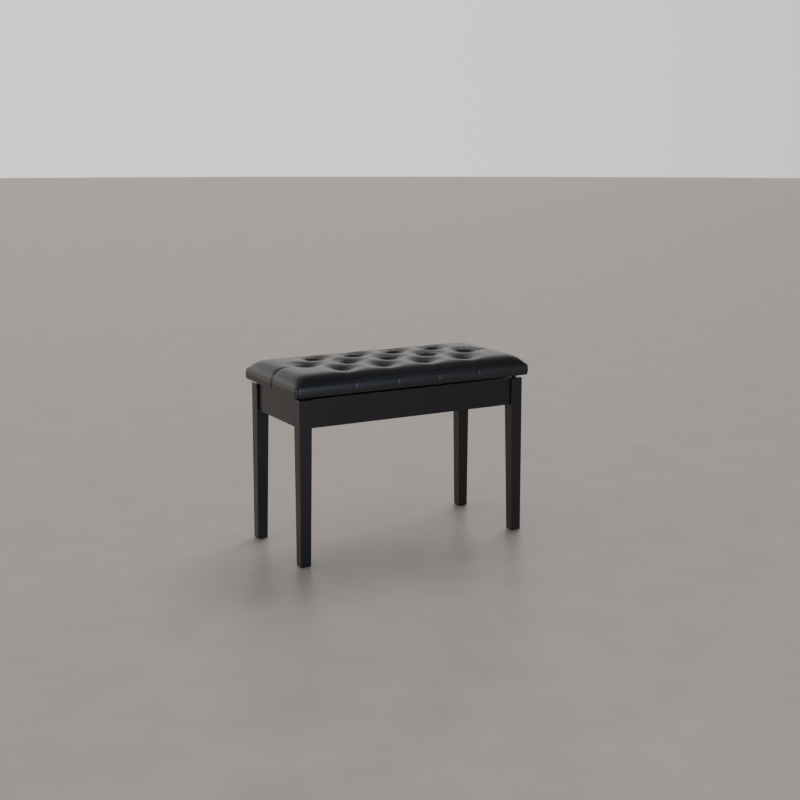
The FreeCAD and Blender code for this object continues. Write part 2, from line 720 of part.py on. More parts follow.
def arm_nodes():
    nodes = {}
    for name, side in ENDS:
        nodes["stay_long_arm_" + name] = lower_arm(side)
        nodes["stay_knee_rivet_" + name] = knee_rivet(side)
        nodes["stay_short_arm_" + name] = upper_arm(side)
    return nodes


def write(nodes):
    os.makedirs("parts", exist_ok=True)
    for name, shape in nodes.items():
        solid = Part.makeCompound(shape) if isinstance(shape, list) else shape
        solid.exportStep("parts/" + name + ".step")
        print(name, len(solid.Solids), round(solid.Volume / 1000, 2), "cm3", solid.isValid())


write({**frame_nodes(), **seat_nodes(), **arm_nodes()})
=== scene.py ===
"""Looks of a black piano bench: tufted vinyl seat, satin lacquered legs and aprons, plated fittings."""

import logging
import math
from dataclasses import dataclass, field
from enum import Enum
from typing import Protocol

import bpy
import numpy as np
from bpy.types import ID, Material, Node, NodeSocket, NodeTree, Object
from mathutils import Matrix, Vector


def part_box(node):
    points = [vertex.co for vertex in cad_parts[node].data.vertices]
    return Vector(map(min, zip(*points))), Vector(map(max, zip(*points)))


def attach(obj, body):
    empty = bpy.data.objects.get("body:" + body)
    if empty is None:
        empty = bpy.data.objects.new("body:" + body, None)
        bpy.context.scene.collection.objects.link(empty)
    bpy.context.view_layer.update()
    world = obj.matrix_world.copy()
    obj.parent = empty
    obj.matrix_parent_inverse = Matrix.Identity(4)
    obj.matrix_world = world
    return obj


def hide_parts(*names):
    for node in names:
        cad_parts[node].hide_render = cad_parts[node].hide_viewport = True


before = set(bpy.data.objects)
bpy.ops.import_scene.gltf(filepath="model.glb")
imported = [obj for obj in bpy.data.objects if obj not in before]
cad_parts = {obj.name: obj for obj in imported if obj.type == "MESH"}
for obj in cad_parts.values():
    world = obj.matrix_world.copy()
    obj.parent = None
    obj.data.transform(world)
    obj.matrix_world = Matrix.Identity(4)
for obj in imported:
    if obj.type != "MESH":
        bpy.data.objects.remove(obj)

MM = 0.001
LINE_SAMPLES = 8001
LOG = logging.getLogger("piano_bench")


class Grain(Enum):
    """Axis along which a wooden piece's grain runs."""

    LENGTH = 0
    DEPTH = 1
    HEIGHT = 2


# ---- colour and node helpers ----
def srgb(code: str) -> tuple[float, float, float, float]:
    """Turn an sRGB hex colour into linear light.

    Args:
        code: Six hex digits with a leading hash sign.

    Returns:
        Linear red, green and blue, and an alpha of 1.
    """
    channels = [int(code[k:k + 2], 16) / 255 for k in (1, 3, 5)]
    linear = [c / 12.92 if c <= 0.04045 else ((c + 0.055) / 1.055) ** 2.4 for c in channels]
    return (*linear, 1.0)


def set_inputs(tree: NodeTree, node: Node, values: dict | None = None,
               links: dict | None = None) -> None:
    """Set a node's constants and link its other inputs.

    Args:
        tree: Node tree that the node is in.
        node: The node.
        values: Input name or index to constant value.
        links: Input name or index to the output socket that feeds it.
    """
    for key, value in (values or {}).items():
        node.inputs[key].default_value = value
    for key, socket in (links or {}).items():
        tree.links.new(socket, node.inputs[key])


def add_node(tree: NodeTree, kind: str, values: dict | None = None,
             links: dict | None = None, **settings: object) -> Node:
    """Add one shader node with its settings, input values and links.

    Args:
        tree: Node tree that the node goes into.
        kind: Node type without its ShaderNode prefix.
        values: Input name or index to constant value.
        links: Input name or index to the output socket that feeds it.
        **settings: Attributes of the node itself.

    Returns:
        The new node.
    """
    node = tree.nodes.new("ShaderNode" + kind)
    for key, value in settings.items():
        setattr(node, key, value)
    set_inputs(tree, node, values, links)
    return node


def new_surface(name: str) -> tuple[Material, NodeTree, Node, NodeSocket]:
    """Start a material with an empty Principled surface.

    Args:
        name: Material name.

    Returns:
        The material, its node tree, its Principled shader and its Object coordinates.
    """
    material = bpy.data.materials.new(name)
    material.use_nodes = True
    tree = material.node_tree
    tree.nodes.clear()
    shader = add_node(tree, "BsdfPrincipled")
    add_node(tree, "OutputMaterial", links={"Surface": shader.outputs["BSDF"]})
    return material, tree, shader, add_node(tree, "TexCoord").outputs["Object"]


def mix_colours(tree: NodeTree, factor: NodeSocket, low: str, high: str) -> NodeSocket:
    """Blend two sRGB colours by a factor socket and return the colour socket."""
    node = add_node(tree, "Mix", values={6: srgb(low), 7: srgb(high)}, links={0: factor}, data_type="RGBA")
    return node.outputs[2]


def spread(tree: NodeTree, factor: NodeSocket, low: float, high: float) -> NodeSocket:
    """Map a 0 to 1 socket to a range of numbers and return the result socket."""
    node = add_node(tree, "MapRange", values={"To Min": low, "To Max": high}, links={"Value": factor})
    return node.outputs["Result"]


# ---- finishes ----
class Finish(Protocol):
    """Anything that can make a Blender material."""

    name: str

    def build(self) -> Material:
        """Make the material and return it."""


@dataclass(frozen=True)
class SprayedLacquer:
    """Satin black polyurethane lacquer sprayed on close-grained hardwood.

    The coat levels out almost all of the grain, so what shows is a faint orange peel, a trace of
    long pores along the board and a slow drift of gloss where the coat is thicker. Peel, pore and
    drift are the widths of those marks, and the bump sizes are how deep they go.
    """

    name: str
    grain: Grain
    dark: str = "#0b0c0d"
    light: str = "#111213"
    peel: float = 2.2 * MM
    pore: float = 0.9 * MM
    pore_stretch: float = 0.04
    drift: float = 90 * MM
    pore_bump: float = 0.12 * MM
    peel_bump: float = 0.1 * MM
    roughness: tuple[float, float] = (0.26, 0.34)
    coat: float = 0.12
    coat_roughness: float = 0.22

    def build(self) -> Material:
        """Make the material with its grain along the board.

        Returns:
            The material.
        """
        material, tree, shader, place = new_surface(self.name)
        scale = [1.0, 1.0, 1.0]
        scale[self.grain.value] = self.pore_stretch
        along = add_node(tree, "Mapping", values={"Scale": scale}, links={"Vector": place})
        pores = add_node(tree, "TexNoise", values={"Scale": 1 / self.pore, "Detail": 4.0, "Roughness": 0.6},
                         links={"Vector": along.outputs["Vector"]})
        peel = add_node(tree, "TexNoise", values={"Scale": 1 / self.peel, "Detail": 1.0},
                        links={"Vector": place})
        drift = add_node(tree, "TexNoise", values={"Scale": 1 / self.drift, "Detail": 3.0},
                         links={"Vector": place})
        grain_bump = add_node(tree, "Bump", values={"Strength": 0.06, "Distance": self.pore_bump},
                              links={"Height": pores.outputs["Fac"]})
        bump = add_node(tree, "Bump", values={"Strength": 0.12, "Distance": self.peel_bump},
                        links={"Height": peel.outputs["Fac"], "Normal": grain_bump.outputs["Normal"]})
        set_inputs(tree, shader, {"Coat Weight": self.coat, "Coat Roughness": self.coat_roughness}, {
            "Base Color": mix_colours(tree, pores.outputs["Fac"], self.dark, self.light),
            "Roughness": spread(tree, drift.outputs["Fac"], *self.roughness),
            "Normal": bump.outputs["Normal"],
        })
        return material


@dataclass(frozen=True)
class EmbossedVinyl:
    """Black coated upholstery cloth, embossed with a fine leather grain.

    Small rounded cells with finer pebbles inside them break up the soft shine, and the gloss
    drifts slowly from place to place.
    """

    name: str = "black_vinyl_embossed"
    dark: str = "#0c0c0d"
    light: str = "#151617"
    cell: float = 1.5 * MM
    pebble: float = 0.55 * MM
    drift: float = 45 * MM
    pebble_bump: float = 0.08 * MM
    cell_bump: float = 0.16 * MM
    roughness: tuple[float, float] = (0.36, 0.46)
    coat: float = 0.3
    coat_roughness: float = 0.3

    def build(self) -> Material:
        """Make the material with its grain of cells and pebbles.

        Returns:
            The material.
        """
        material, tree, shader, place = new_surface(self.name)
        cells = add_node(tree, "TexVoronoi", links={"Vector": place}, feature="SMOOTH_F1",
                         values={"Scale": 1 / self.cell, "Randomness": 0.95, "Smoothness": 0.35})
        pebbles = add_node(tree, "TexNoise", values={"Scale": 1 / self.pebble, "Detail": 2.0},
                           links={"Vector": place})
        drift = add_node(tree, "TexNoise", values={"Scale": 1 / self.drift, "Detail": 3.0},
                         links={"Vector": place})
        fine = add_node(tree, "Bump", values={"Strength": 0.10, "Distance": self.pebble_bump},
                        links={"Height": pebbles.outputs["Fac"]})
        grain = add_node(tree, "Bump", values={"Strength": 0.30, "Distance": self.cell_bump},
                         links={"Height": cells.outputs["Distance"], "Normal": fine.outputs["Normal"]},
                         invert=True)
        set_inputs(tree, shader, {"Coat Weight": self.coat, "Coat Roughness": self.coat_roughness}, {
            "Base Color": mix_colours(tree, cells.outputs["Distance"], self.light, self.dark),
            "Roughness": spread(tree, drift.outputs["Fac"], *self.roughness),
            "Normal": grain.outputs["Normal"],
        })
        return material


@dataclass(frozen=True)
class PlatedSteel:
    """Pressed steel with a thin bright plating, tumbled smooth: soft shine with fine scuffs."""

    name: str
    dark: str
    light: str
    roughness: float
    smoother: float = 0.06
    rougher: float = 0.08
    scuff: float = 0.6 * MM
    scuff_bump: float = 0.05 * MM
    mottle: float = 14 * MM

    def build(self) -> Material:
        """Make the material with its scuffs and its slow mottle.

        Returns:
            The material.
        """
        material, tree, shader, place = new_surface(self.name)
        mottle = add_node(tree, "TexNoise", values={"Scale": 1 / self.mottle, "Detail": 4.0},
                          links={"Vector": place})
        scuffs = add_node(tree, "TexNoise", values={"Scale": 1 / self.scuff, "Detail": 3.0, "Distortion": 1.5},
                          links={"Vector": place})
        bump = add_node(tree, "Bump", values={"Strength": 0.08, "Distance": self.scuff_bump},
                        links={"Height": scuffs.outputs["Fac"]})
        smooth, rough = self.roughness - self.smoother, self.roughness + self.rougher
        set_inputs(tree, shader, {"Metallic": 1.0}, {
            "Base Color": mix_colours(tree, mottle.outputs["Fac"], self.dark, self.light),
            "Roughness": spread(tree, scuffs.outputs["Fac"], smooth, rough),
            "Normal": bump.outputs["Normal"],
        })
        return material


@dataclass(frozen=True)
class SawnWood:
    """Planed but unfinished wood: growth bands along the grain with darker late wood and pores."""

    name: str
    grain: Grain
    early: str
    late: str
    ring: float = 5 * MM
    stretch: float = 0.08
    pore: float = 0.7 * MM
    pore_bump: float = 0.15 * MM
    roughness: tuple[float, float] = (0.55, 0.75)

    def build(self) -> Material:
        """Make the material with its bands along the grain.

        Returns:
            The material.
        """
        material, tree, shader, place = new_surface(self.name)
        scale = [1.0, 1.0, 1.0]
        scale[self.grain.value] = self.stretch
        along = add_node(tree, "Mapping", values={"Scale": scale}, links={"Vector": place})
        bands = add_node(tree, "TexNoise", values={"Scale": 1 / self.ring, "Detail": 2.0, "Distortion": 0.6},
                         links={"Vector": along.outputs["Vector"]})
        pores = add_node(tree, "TexNoise", values={"Scale": 1 / self.pore, "Detail": 3.0},
                         links={"Vector": along.outputs["Vector"]})
        bump = add_node(tree, "Bump", values={"Strength": 0.25, "Distance": self.pore_bump},
                        links={"Height": pores.outputs["Fac"]})
        set_inputs(tree, shader, links={
            "Base Color": mix_colours(tree, bands.outputs["Fac"], self.late, self.early),
            "Roughness": spread(tree, pores.outputs["Fac"], *self.roughness),
            "Normal": bump.outputs["Normal"],
        })
        return material


@dataclass(frozen=True)
class SpunbondCloth:
    """Black non-woven dust cloth: tangled fibres pressed together at a grid of small bond points."""

    name: str = "lining_spunbond"
    dark: str = "#0b0b0c"
    light: str = "#1c1c1d"
    fibre: float = 0.5 * MM
    bond: float = 2.4 * MM
    fibre_bump: float = 0.12 * MM
    bond_bump: float = 0.2 * MM
    roughness: float = 0.9
    sheen: float = 0.15

    def build(self) -> Material:
        """Make the material. The bond points are drawn about twice life size so that they show.

        Returns:
            The material.
        """
        material, tree, shader, place = new_surface(self.name)
        fibres = add_node(tree, "TexNoise", values={"Scale": 1 / self.fibre, "Detail": 4.0, "Distortion": 2.0},
                          links={"Vector": place})
        bonds = add_node(tree, "TexVoronoi", values={"Scale": 1 / self.bond, "Randomness": 0.15},
                         links={"Vector": place})
        soft = add_node(tree, "Bump", values={"Strength": 0.3, "Distance": self.fibre_bump},
                        links={"Height": fibres.outputs["Fac"]})
        pressed = add_node(tree, "Bump", values={"Strength": 0.5, "Distance": self.bond_bump},
                           links={"Height": bonds.outputs["Distance"], "Normal": soft.outputs["Normal"]})
        set_inputs(tree, shader, {"Roughness": self.roughness, "Sheen Weight": self.sheen}, {
            "Base Color": mix_colours(tree, fibres.outputs["Fac"], self.dark, self.light),
            "Normal": pressed.outputs["Normal"],
        })
        return material


@dataclass(frozen=True)
class Moulded:
    """Moulded rubber, plastic, foam or twine: one colour with a fine surface texture."""

    name: str
    dark: str
    light: str
    roughness: float
    texture: float
    depth: float = 0.1 * MM
    gloss_drift: float = 0.05

    def build(self) -> Material:
        """Make the material with its fine texture.

        Returns:
            The material.
        """
        material, tree, shader, place = new_surface(self.name)
        specks = add_node(tree, "TexNoise", values={"Scale": 1 / self.texture, "Detail": 3.0},
                          links={"Vector": place})
        bump = add_node(tree, "Bump", values={"Strength": 0.3, "Distance": self.depth},
                        links={"Height": specks.outputs["Fac"]})
        smooth, rough = self.roughness - self.gloss_drift, self.roughness + self.gloss_drift
        set_inputs(tree, shader, links={
            "Base Color": mix_colours(tree, specks.outputs["Fac"], self.dark, self.light),
            "Roughness": spread(tree, specks.outputs["Fac"], smooth, rough),
            "Normal": bump.outputs["Normal"],
        })
        return material


# ---- mesh helpers ----
def put_in_scene(name: str, data: ID) -> Object:
    """Make an object at the origin and link it into the scene.

    Args:
        name: Object name.
        data: Its mesh, light or camera.

    Returns:
        The new object.
    """
    thing = bpy.data.objects.new(name, data)
    bpy.context.scene.collection.objects.link(thing)
    return thing


def new_piece(name: str, points: np.ndarray, faces: np.ndarray | list, material: Material,
              body: str) -> Object:
    """Make a smooth mesh piece that rides on a body.

    Args:
        name: Piece name.
        points: Vertex positions, one row each, in metres.
        faces: Vertex indices, one face per row.
        material: Finish of the whole piece.
        body: CAD body that the piece moves with.

    Returns:
        The new object, at the origin.
    """
    mesh = bpy.data.meshes.new(name)
    mesh.from_pydata(points.tolist(), [], faces if isinstance(faces, list) else faces.tolist())
    mesh.polygons.foreach_set("use_smooth", np.ones(len(mesh.polygons), bool))
    mesh.materials.append(material)
    mesh.update()
    piece = put_in_scene(name, mesh)
    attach(piece, body)
    LOG.info("%s: %d vertices, %d faces", name, len(points), len(faces))
    return piece


def grid_faces(rows: int, columns: int, start: int = 0, wrap: bool = False) -> np.ndarray:
    """Quads between neighbouring rows of a grid of vertices.

    Args:
        rows: Number of rows.
        columns: Number of vertices in a row.
        start: Index of the first vertex.
        wrap: Whether each row closes on itself.

    Returns:
        Four vertex indices per quad.
    """
    j = np.arange(columns if wrap else columns - 1)
    i = np.arange(rows - 1)[:, None]
    k = (j + 1) % columns
    quads = np.stack([i * columns + j, i * columns + k, (i + 1) * columns + k, (i + 1) * columns + j], axis=-1)
    return quads.reshape(-1, 4) + start


def skirt_faces(border: np.ndarray, start: int) -> np.ndarray:
    """Quads from a closed border down to a ring of as many vertices.

    Args:
        border: Vertex indices of the border in order.
        start: Index of the ring's first vertex.

    Returns:
        Four vertex indices per quad.
    """
    k = np.arange(len(border))
    after = np.roll(k, -1)
    return np.stack([start + k, start + after, border[after], border], axis=-1)


def graded_lines(half: float, stops: list[float], coarse: float, fine: float, reach: float) -> np.ndarray:
    """Grid lines from -half to half that crowd together near the stops.

    The density of lines is one per coarse step, plus a bell of extra lines of width reach round
    each stop; the lines stand at equal steps of the density's running total.

    Args:
        half: Half the width that the lines cover.
        stops: Places where they crowd together.
        coarse: Step between lines far from every stop.
        fine: Step between lines at a stop.
        reach: How far the crowding reaches from a stop.

    Returns:
        The places of the lines, in order.
    """
    u = np.linspace(-half, half, LINE_SAMPLES)
    bells = np.exp(-((u[:, None] - np.asarray(stops)[None, :]) / reach) ** 2).sum(axis=1)
    density = 1 / coarse + (1 / fine - 1 / coarse) * np.minimum(bells, 1.0)
    total = np.concatenate([[0.0], np.cumsum((density[1:] + density[:-1]) / 2 * np.diff(u))])
    count = int(round(total[-1]))
    return np.interp(np.linspace(0, total[-1], count + 1), total, u)


def ramp(at: np.ndarray, start: float, end: float) -> np.ndarray:
    """Straight rise from 0 at the start to 1 at the end."""
    return np.clip((at - start) / (end - start), 0, 1)


def add_solidify(piece: Object, thickness: float) -> None:
    """Give a sheet its thickness, inwards from its outer face.

    Args:
        piece: The sheet.
        thickness: How thick it gets.
    """
    modifier = piece.modifiers.new("thickness", "SOLIDIFY")
    modifier.thickness = thickness
    modifier.offset = -1.0


# ---- seat ----
@dataclass(frozen=True)
class Seam:
    """Cross-section of a seam or crease: a narrow bell in the middle of a wide shallow one."""

    depth: float
    width: float
    valley: float
    valley_width: float

    def across(self, offset: np.ndarray) -> np.ndarray:
        """Depth at an offset: depth * exp(-(offset / width)^2), plus the valley's like it."""
        narrow = self.depth * np.exp(-(offset / self.width) ** 2)
        return narrow + self.valley * np.exp(-(offset / self.valley_width) ** 2)


@dataclass(frozen=True)
class ClothSettling:
    """Short cloth run that pulls a pinned sheet taut and swells it between the pins."""

    frames: int = 20
    pressure: float = 4.0
    shrink: float = 0.015
    tension: float = 12.0
    bending: float = 0.6
    quality: int = 6
    rise_cap: float = 4.0 * MM
    sink_cap: float = 1.0 * MM

    def run(self, points: np.ndarray, quads: np.ndarray, pinned: np.ndarray) -> np.ndarray:
        """Settle one sheet.

        Args:
            points: Vertex positions, one row each.
            quads: Vertex indices of its faces.
            pinned: Whether each vertex is held in place.

        Returns:
            How far each vertex moves, capped upwards and downwards, one row each.
        """
        mesh = bpy.data.meshes.new("settling_sheet")
        mesh.from_pydata(points.tolist(), [], quads.tolist())
        sheet = put_in_scene("settling_sheet", mesh)
        scene = bpy.context.scene
        pins = sheet.vertex_groups.new(name="pins")
        pins.add(np.flatnonzero(pinned).tolist(), 1.0, "REPLACE")
        cloth = sheet.modifiers.new("settling", "CLOTH")
        cloth.point_cache.frame_start, cloth.point_cache.frame_end = 1, self.frames
        settings = cloth.settings
        settings.vertex_group_mass = pins.name
        settings.effector_weights.gravity = 0.0
        settings.use_pressure = True
        settings.uniform_pressure_force = self.pressure
        settings.shrink_min = self.shrink
        settings.tension_stiffness = settings.compression_stiffness = self.tension
        settings.shear_stiffness = self.tension / 2
        settings.bending_stiffness = self.bending
        settings.quality = self.quality
        for number in range(1, self.frames + 1):
            scene.frame_set(number)
        settled = sheet.evaluated_get(bpy.context.evaluated_depsgraph_get()).data
        moved = np.empty(3 * len(points), np.float32)
        settled.vertices.foreach_get("co", moved)
        bpy.data.objects.remove(sheet)
        bpy.data.meshes.remove(mesh)
        scene.frame_set(1)
        step = moved.reshape(-1, 3) - points
        up, down = np.maximum(step[:, 2], 0), np.minimum(step[:, 2], 0)
        LOG.info("settled sheet: rises to %.1f mm, sinks to %.1f mm", up.max() / MM, down.min() / MM)
        step[:, 2] = self.rise_cap * np.tanh(up / self.rise_cap) + self.sink_cap * np.tanh(down / self.sink_cap)
        step[:, :2] = self.sink_cap * np.tanh(step[:, :2] / self.sink_cap)
        return step


@dataclass
class TuftedSeat:
    """Tufted cover, foam, covered buttons and lining of the hinged seat.

    The cover is one sheet: a crowned top with a pit at every button, an edge that is rolled along
    the long sides and soft at the ends, an upright band with a seam in line with each outer button
    and each corner, and a hem turned under the board. An edge profile is a list of steps in mm out
    from the crown and up from the band's top.
    """

    band_height: float = 30 * MM
    corner_radius: float = 8 * MM
    cover_thick: float = 0.8 * MM
    hem_width: float = 31 * MM
    edge_inset: float = 1.6 * MM
    crown_reach: float = 13 * MM
    button_radius: float = 6.5 * MM
    button_rows: tuple[int, ...] = (4, 5, 4)
    dimple_floor: float = 5.0 * MM
    dimple_mouth: float = 70 * MM
    shoulder: float = 0.82
    gather_count: int = 9
    second_count: int = 5
    second_share: float = 0.6
    gather_depth: float = 0.55 * MM
    gather_reach: float = 13 * MM
    slack_depth: float = 0.45 * MM
    slack_waves: int = 9
    slack_wave_number: float = 34.0
    swell: float = 5.5 * MM
    rolled_edge: tuple[tuple[float, float], ...] = (
        (0.2, -0.5), (0.6, -0.1), (1.2, 0.15), (1.8, 0.1), (2.4, -0.3), (2.8, -0.9), (2.9, -1.7),
        (2.7, -2.5), (2.3, -3.2))
    soft_edge: tuple[tuple[float, float], ...] = (
        (0.4, -0.3), (0.9, -0.6), (1.35, -1.0), (1.7, -1.4), (2.0, -1.85), (2.2, -2.35), (2.3, -2.8),
        (2.36, -3.3), (2.4, -3.7))
    roll_turn: tuple[float, float] = (0.45, 0.85)
    edge_height: float = 4.0 * MM
    edge_pull: float = 0.6
    panel_rings: int = 11
    panel_bulge: float = 2.5 * MM
    panel_start: float = 0.08
    panel_fullness: float = 0.8
    panel_pull: float = 1.3
    foot_radius: float = 3.4 * MM
    foot_rings: int = 5
    hem_steps: tuple[float, ...] = (0.1, 0.4, 0.7, 1.0)
    side_crease: Seam = Seam(0.35 * MM, 1.6 * MM, 0.7 * MM, 10 * MM)
    end_crease: Seam = Seam(2.0 * MM, 1.7 * MM, 2.2 * MM, 9 * MM)
    side_seam: Seam = Seam(0.7 * MM, 1.1 * MM, 0.3 * MM, 5 * MM)
    end_seam: Seam = Seam(2.4 * MM, 2.0 * MM, 1.0 * MM, 7 * MM)
    corner_seam: Seam = Seam(3.8 * MM, 2.5 * MM, 0.4 * MM, 5 * MM)
    end_seam_y: float = -15 * MM
    end_seam_stops: int = 4
    board_cover: float = 0.6 * MM
    foam_gap: float = 1.5 * MM
    button_dome: float = 2.6 * MM
    button_rim: tuple[float, float] = (0.2 * MM, 0.9 * MM)
    button_under: tuple[float, float] = (0.93, 0.7)
    button_rings: int = 8
    button_sides: int = 24
    lining_thick: float = 0.5 * MM
    lining_inset: float = 0.15 * MM
    lining_grid: tuple[int, int] = (161, 73)
    pucker_depth: float = 0.12 * MM
    pucker_waves: tuple[int, int] = (24, 10)
    pucker_fade: tuple[float, float] = (14.0, 30.0)
    grid_step: float = 3.4 * MM
    seam_step: float = 0.9 * MM
    seam_reach: float = 6 * MM
    settling: ClothSettling = ClothSettling()
    settling_step: float = 6 * MM
    seed: int = 7
    low: Vector = field(init=False)
    high: Vector = field(init=False)

    def __post_init__(self) -> None:
        """Take the seat's place and size from the frame."""
        self.low, self.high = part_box("seat_cover")
        button_low, button_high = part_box("seat_buttons")
        self.half_x = self.high.x - self.edge_inset
        self.half_y = self.high.y - self.edge_inset
        self.half = np.array([self.half_x, self.half_y])
        self.band_top = self.low.z + self.band_height
        self.crown = self.high.z - self.band_top + self.swell
        self.board_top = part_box("lid_board")[1].z
        self.button_z = button_low.z
        self.dimple_depth = self.high.z + self.swell - self.button_z
        self.end_x, self.row_y = button_high.x - self.button_radius, button_high.y - self.button_radius
        step = 2 * self.end_x / (max(self.button_rows) - 1)
        self.buttons = np.array([
            ((k - (count - 1) / 2) * step, row * self.row_y)
            for row, count in zip((-1, 0, 1), self.button_rows)
            for k in range(count)
        ])
        outer = np.abs(self.buttons[:, 1]) > self.row_y / 2
        self.seam_x = np.unique(np.round(self.buttons[outer, 0], 6))
        rng = np.random.default_rng(self.seed)
        self.gather_turn = rng.uniform(0, 2 * math.pi, (len(self.buttons), 2))
        sizes = np.array([self.slack_wave_number, self.slack_wave_number, math.pi, 1])
        self.waves = rng.uniform(-1, 1, (self.slack_waves, 4)) * sizes

    def plan(self, x: np.ndarray, y: np.ndarray) -> tuple[np.ndarray, np.ndarray]:
        """Round the corners of a rectangular plan.

        Inside each corner square of side r, a point at fractions p and q of the square moves to
        p * sqrt(1 - q^2 / 2) and q * sqrt(1 - p^2 / 2), which turns the square into a quarter disc.

        Args:
            x: Places along the seat in the rectangle.
            y: Places across the seat in the rectangle.

        Returns:
            The same places with the corners rounded.
        """
        r = self.corner_radius
        p = np.clip((np.abs(x) - (self.half_x - r)) / r, 0, 1)
        q = np.clip((np.abs(y) - (self.half_y - r)) / r, 0, 1)
        in_corner = (p > 0) & (q > 0)
        px = np.sign(x) * (self.half_x - r + r * p * np.sqrt(1 - q ** 2 / 2))
        py = np.sign(y) * (self.half_y - r + r * q * np.sqrt(1 - p ** 2 / 2))
        return np.where(in_corner, px, x), np.where(in_corner, py, y)

    def height(self, x: np.ndarray, y: np.ndarray) -> np.ndarray:
        """Height of the seat's top over its plan.

        The crown rises as 1 - exp(-e / reach) of the distance e to each edge, the two multiplied.
        A pit round a button rises as (1 - (1 - t)^2)^shoulder from its floor at t = 0 to its mouth
        at t = 1, and the pits are multiplied too, so that neighbours meet in one crest. Gathers
        are cosines of the angle round a button, and the slack is a sum of long plane waves.

        Args:
            x: Places along the seat.
            y: Places across the seat.

        Returns:
            The height at each place, creases left out.
        """
        def rise(edge: np.ndarray) -> np.ndarray:
            """Share of the crown's height at a distance from one edge."""
            return 1 - np.exp(-np.maximum(edge, 0) / self.crown_reach)

        crown = self.crown * rise(self.half_x - np.abs(x)) * rise(self.half_y - np.abs(y))
        filled = np.ones_like(x)
        gather = np.zeros_like(x)
        for (bx, by), (turn, second) in zip(self.buttons, self.gather_turn):
            r = np.hypot(x - bx, y - by)
            angle = np.arctan2(y - by, x - bx)
            t = np.clip((r - self.dimple_floor) / (self.dimple_mouth - self.dimple_floor), 0, 1)
            filled *= (1 - (1 - t) ** 2) ** self.shoulder
            near = r / self.gather_reach * np.exp(1 - r / self.gather_reach)
            fold = np.cos(self.gather_count * angle + turn)
            fold += self.second_share * np.cos(self.second_count * angle + second)
            gather += self.gather_depth * near ** 2 * fold
        slack = np.zeros_like(x)
        for kx, ky, phase, size in self.waves:
            slack += self.slack_depth / 3 * size * np.sin(kx * x + ky * y + phase)
        flat = np.clip(crown / self.crown, 0, 1) ** 2
        pit = self.dimple_depth * (1 - filled)
        return self.band_top + crown - pit + (gather + slack) * flat

    def settle(self, points: np.ndarray, places: np.ndarray) -> np.ndarray:
        """Move the top's points as a cloth run moves a coarser sheet of the same shape.

        Args:
            points: Positions of the top's grid points.
            places: Their unrounded plan positions, which the coarse sheet's movement is looked up by.

        Returns:
            The moved points.
        """
        columns = 2 * round(self.half_x / self.settling_step) + 1
        rows = 2 * round(self.half_y / self.settling_step) + 1
        gx, gy = np.meshgrid(np.linspace(-self.half_x, self.half_x, columns),
                             np.linspace(-self.half_y, self.half_y, rows))
        px, py = self.plan(gx, gy)
        sheet = np.stack([px, py, self.height(px, py)], axis=-1).reshape(-1, 3)
        near = self.settling_step / 2
        held = ((np.abs(gx) > self.half_x - near) | (np.abs(gy) > self.half_y - near)).ravel()
        for bx, by in self.buttons:
            held |= np.hypot(sheet[:, 0] - bx, sheet[:, 1] - by) < self.button_radius + near
        step = self.settling.run(sheet, grid_faces(rows, columns), held).reshape(rows, columns, 3)
        u = (places[:, 0] / self.half_x + 1) / 2 * (columns - 1)
        v = (places[:, 1] / self.half_y + 1) / 2 * (rows - 1)
        i, j = np.clip(v.astype(int), 0, rows - 2), np.clip(u.astype(int), 0, columns - 2)
        a, b = (v - i)[:, None], (u - j)[:, None]
        low = step[i, j] * (1 - b) + step[i, j + 1] * b
        high = step[i + 1, j] * (1 - b) + step[i + 1, j + 1] * b
        return points + low * (1 - a) + high * a

    def creases(self, x: np.ndarray, y: np.ndarray) -> np.ndarray:
        """Depth of the creases from the outer buttons straight out to the nearest edge.

        The crease at each end is deep, gets deeper towards the edge and drifts to the end's seam;
        the ones to the long edges are faint.

        Args:
            x: Places along the seat.
            y: Places across the seat.

        Returns:
            How far the creases take the top down at each place.
        """
        outwards = ramp(np.abs(y), self.row_y, self.half_y)
        depth = np.zeros_like(x)
        for sx in self.seam_x:
            depth += self.side_crease.across(x - sx) * outwards
        along = ramp(np.abs(x), self.end_x, self.half_x)
        return depth + along * self.end_crease.across(y - self.end_seam_y * along)

    def lines(self) -> tuple[np.ndarray, np.ndarray]:
        """Place the top's grid lines, crowded at the seams and edges.

        Returns:
            The lines' places along X, and those along Y.
        """
        steps = self.grid_step, self.seam_step, self.seam_reach
        end_seam = np.linspace(self.end_seam_y, 0, self.end_seam_stops)
        xs = graded_lines(self.half_x, [*self.seam_x, -self.half_x, self.half_x], *steps)
        ys = graded_lines(self.half_y, [*end_seam, -self.half_y, self.half_y], *steps)
        return xs, ys

    def surface(self, drop: float = 0.0) -> tuple[np.ndarray, np.ndarray, np.ndarray, np.ndarray]:
        """Top grid and the loop of its border.

        Args:
            drop: How far the surface is drawn down and in.

        Returns:
            The grid's points, its quads, the border's vertex indices in order, and the border's
            unrounded plan positions.
        """
        xs, ys = self.lines()
        gx, gy = np.meshgrid(xs, ys)
        px, py = self.plan(gx, gy)
        flat = np.stack([gx, gy], axis=-1).reshape(-1, 2)
        points = np.stack([px, py, self.height(px, py) - drop], axis=-1).reshape(-1, 3)
        if not drop:
            points = self.settle(points, flat)
        points[:, 2] -= self.creases(px, py).ravel()
        points *= np.array([1 - drop / self.half_x, 1 - drop / self.half_y, 1.0])
        rows, columns = gx.shape
        index = np.arange(rows * columns).reshape(rows, columns)
        border = np.concatenate([index[0, :-1], index[:-1, -1], index[-1, :0:-1], index[:0:-1, 0]])
        return points, grid_faces(rows, columns), border, flat[border]

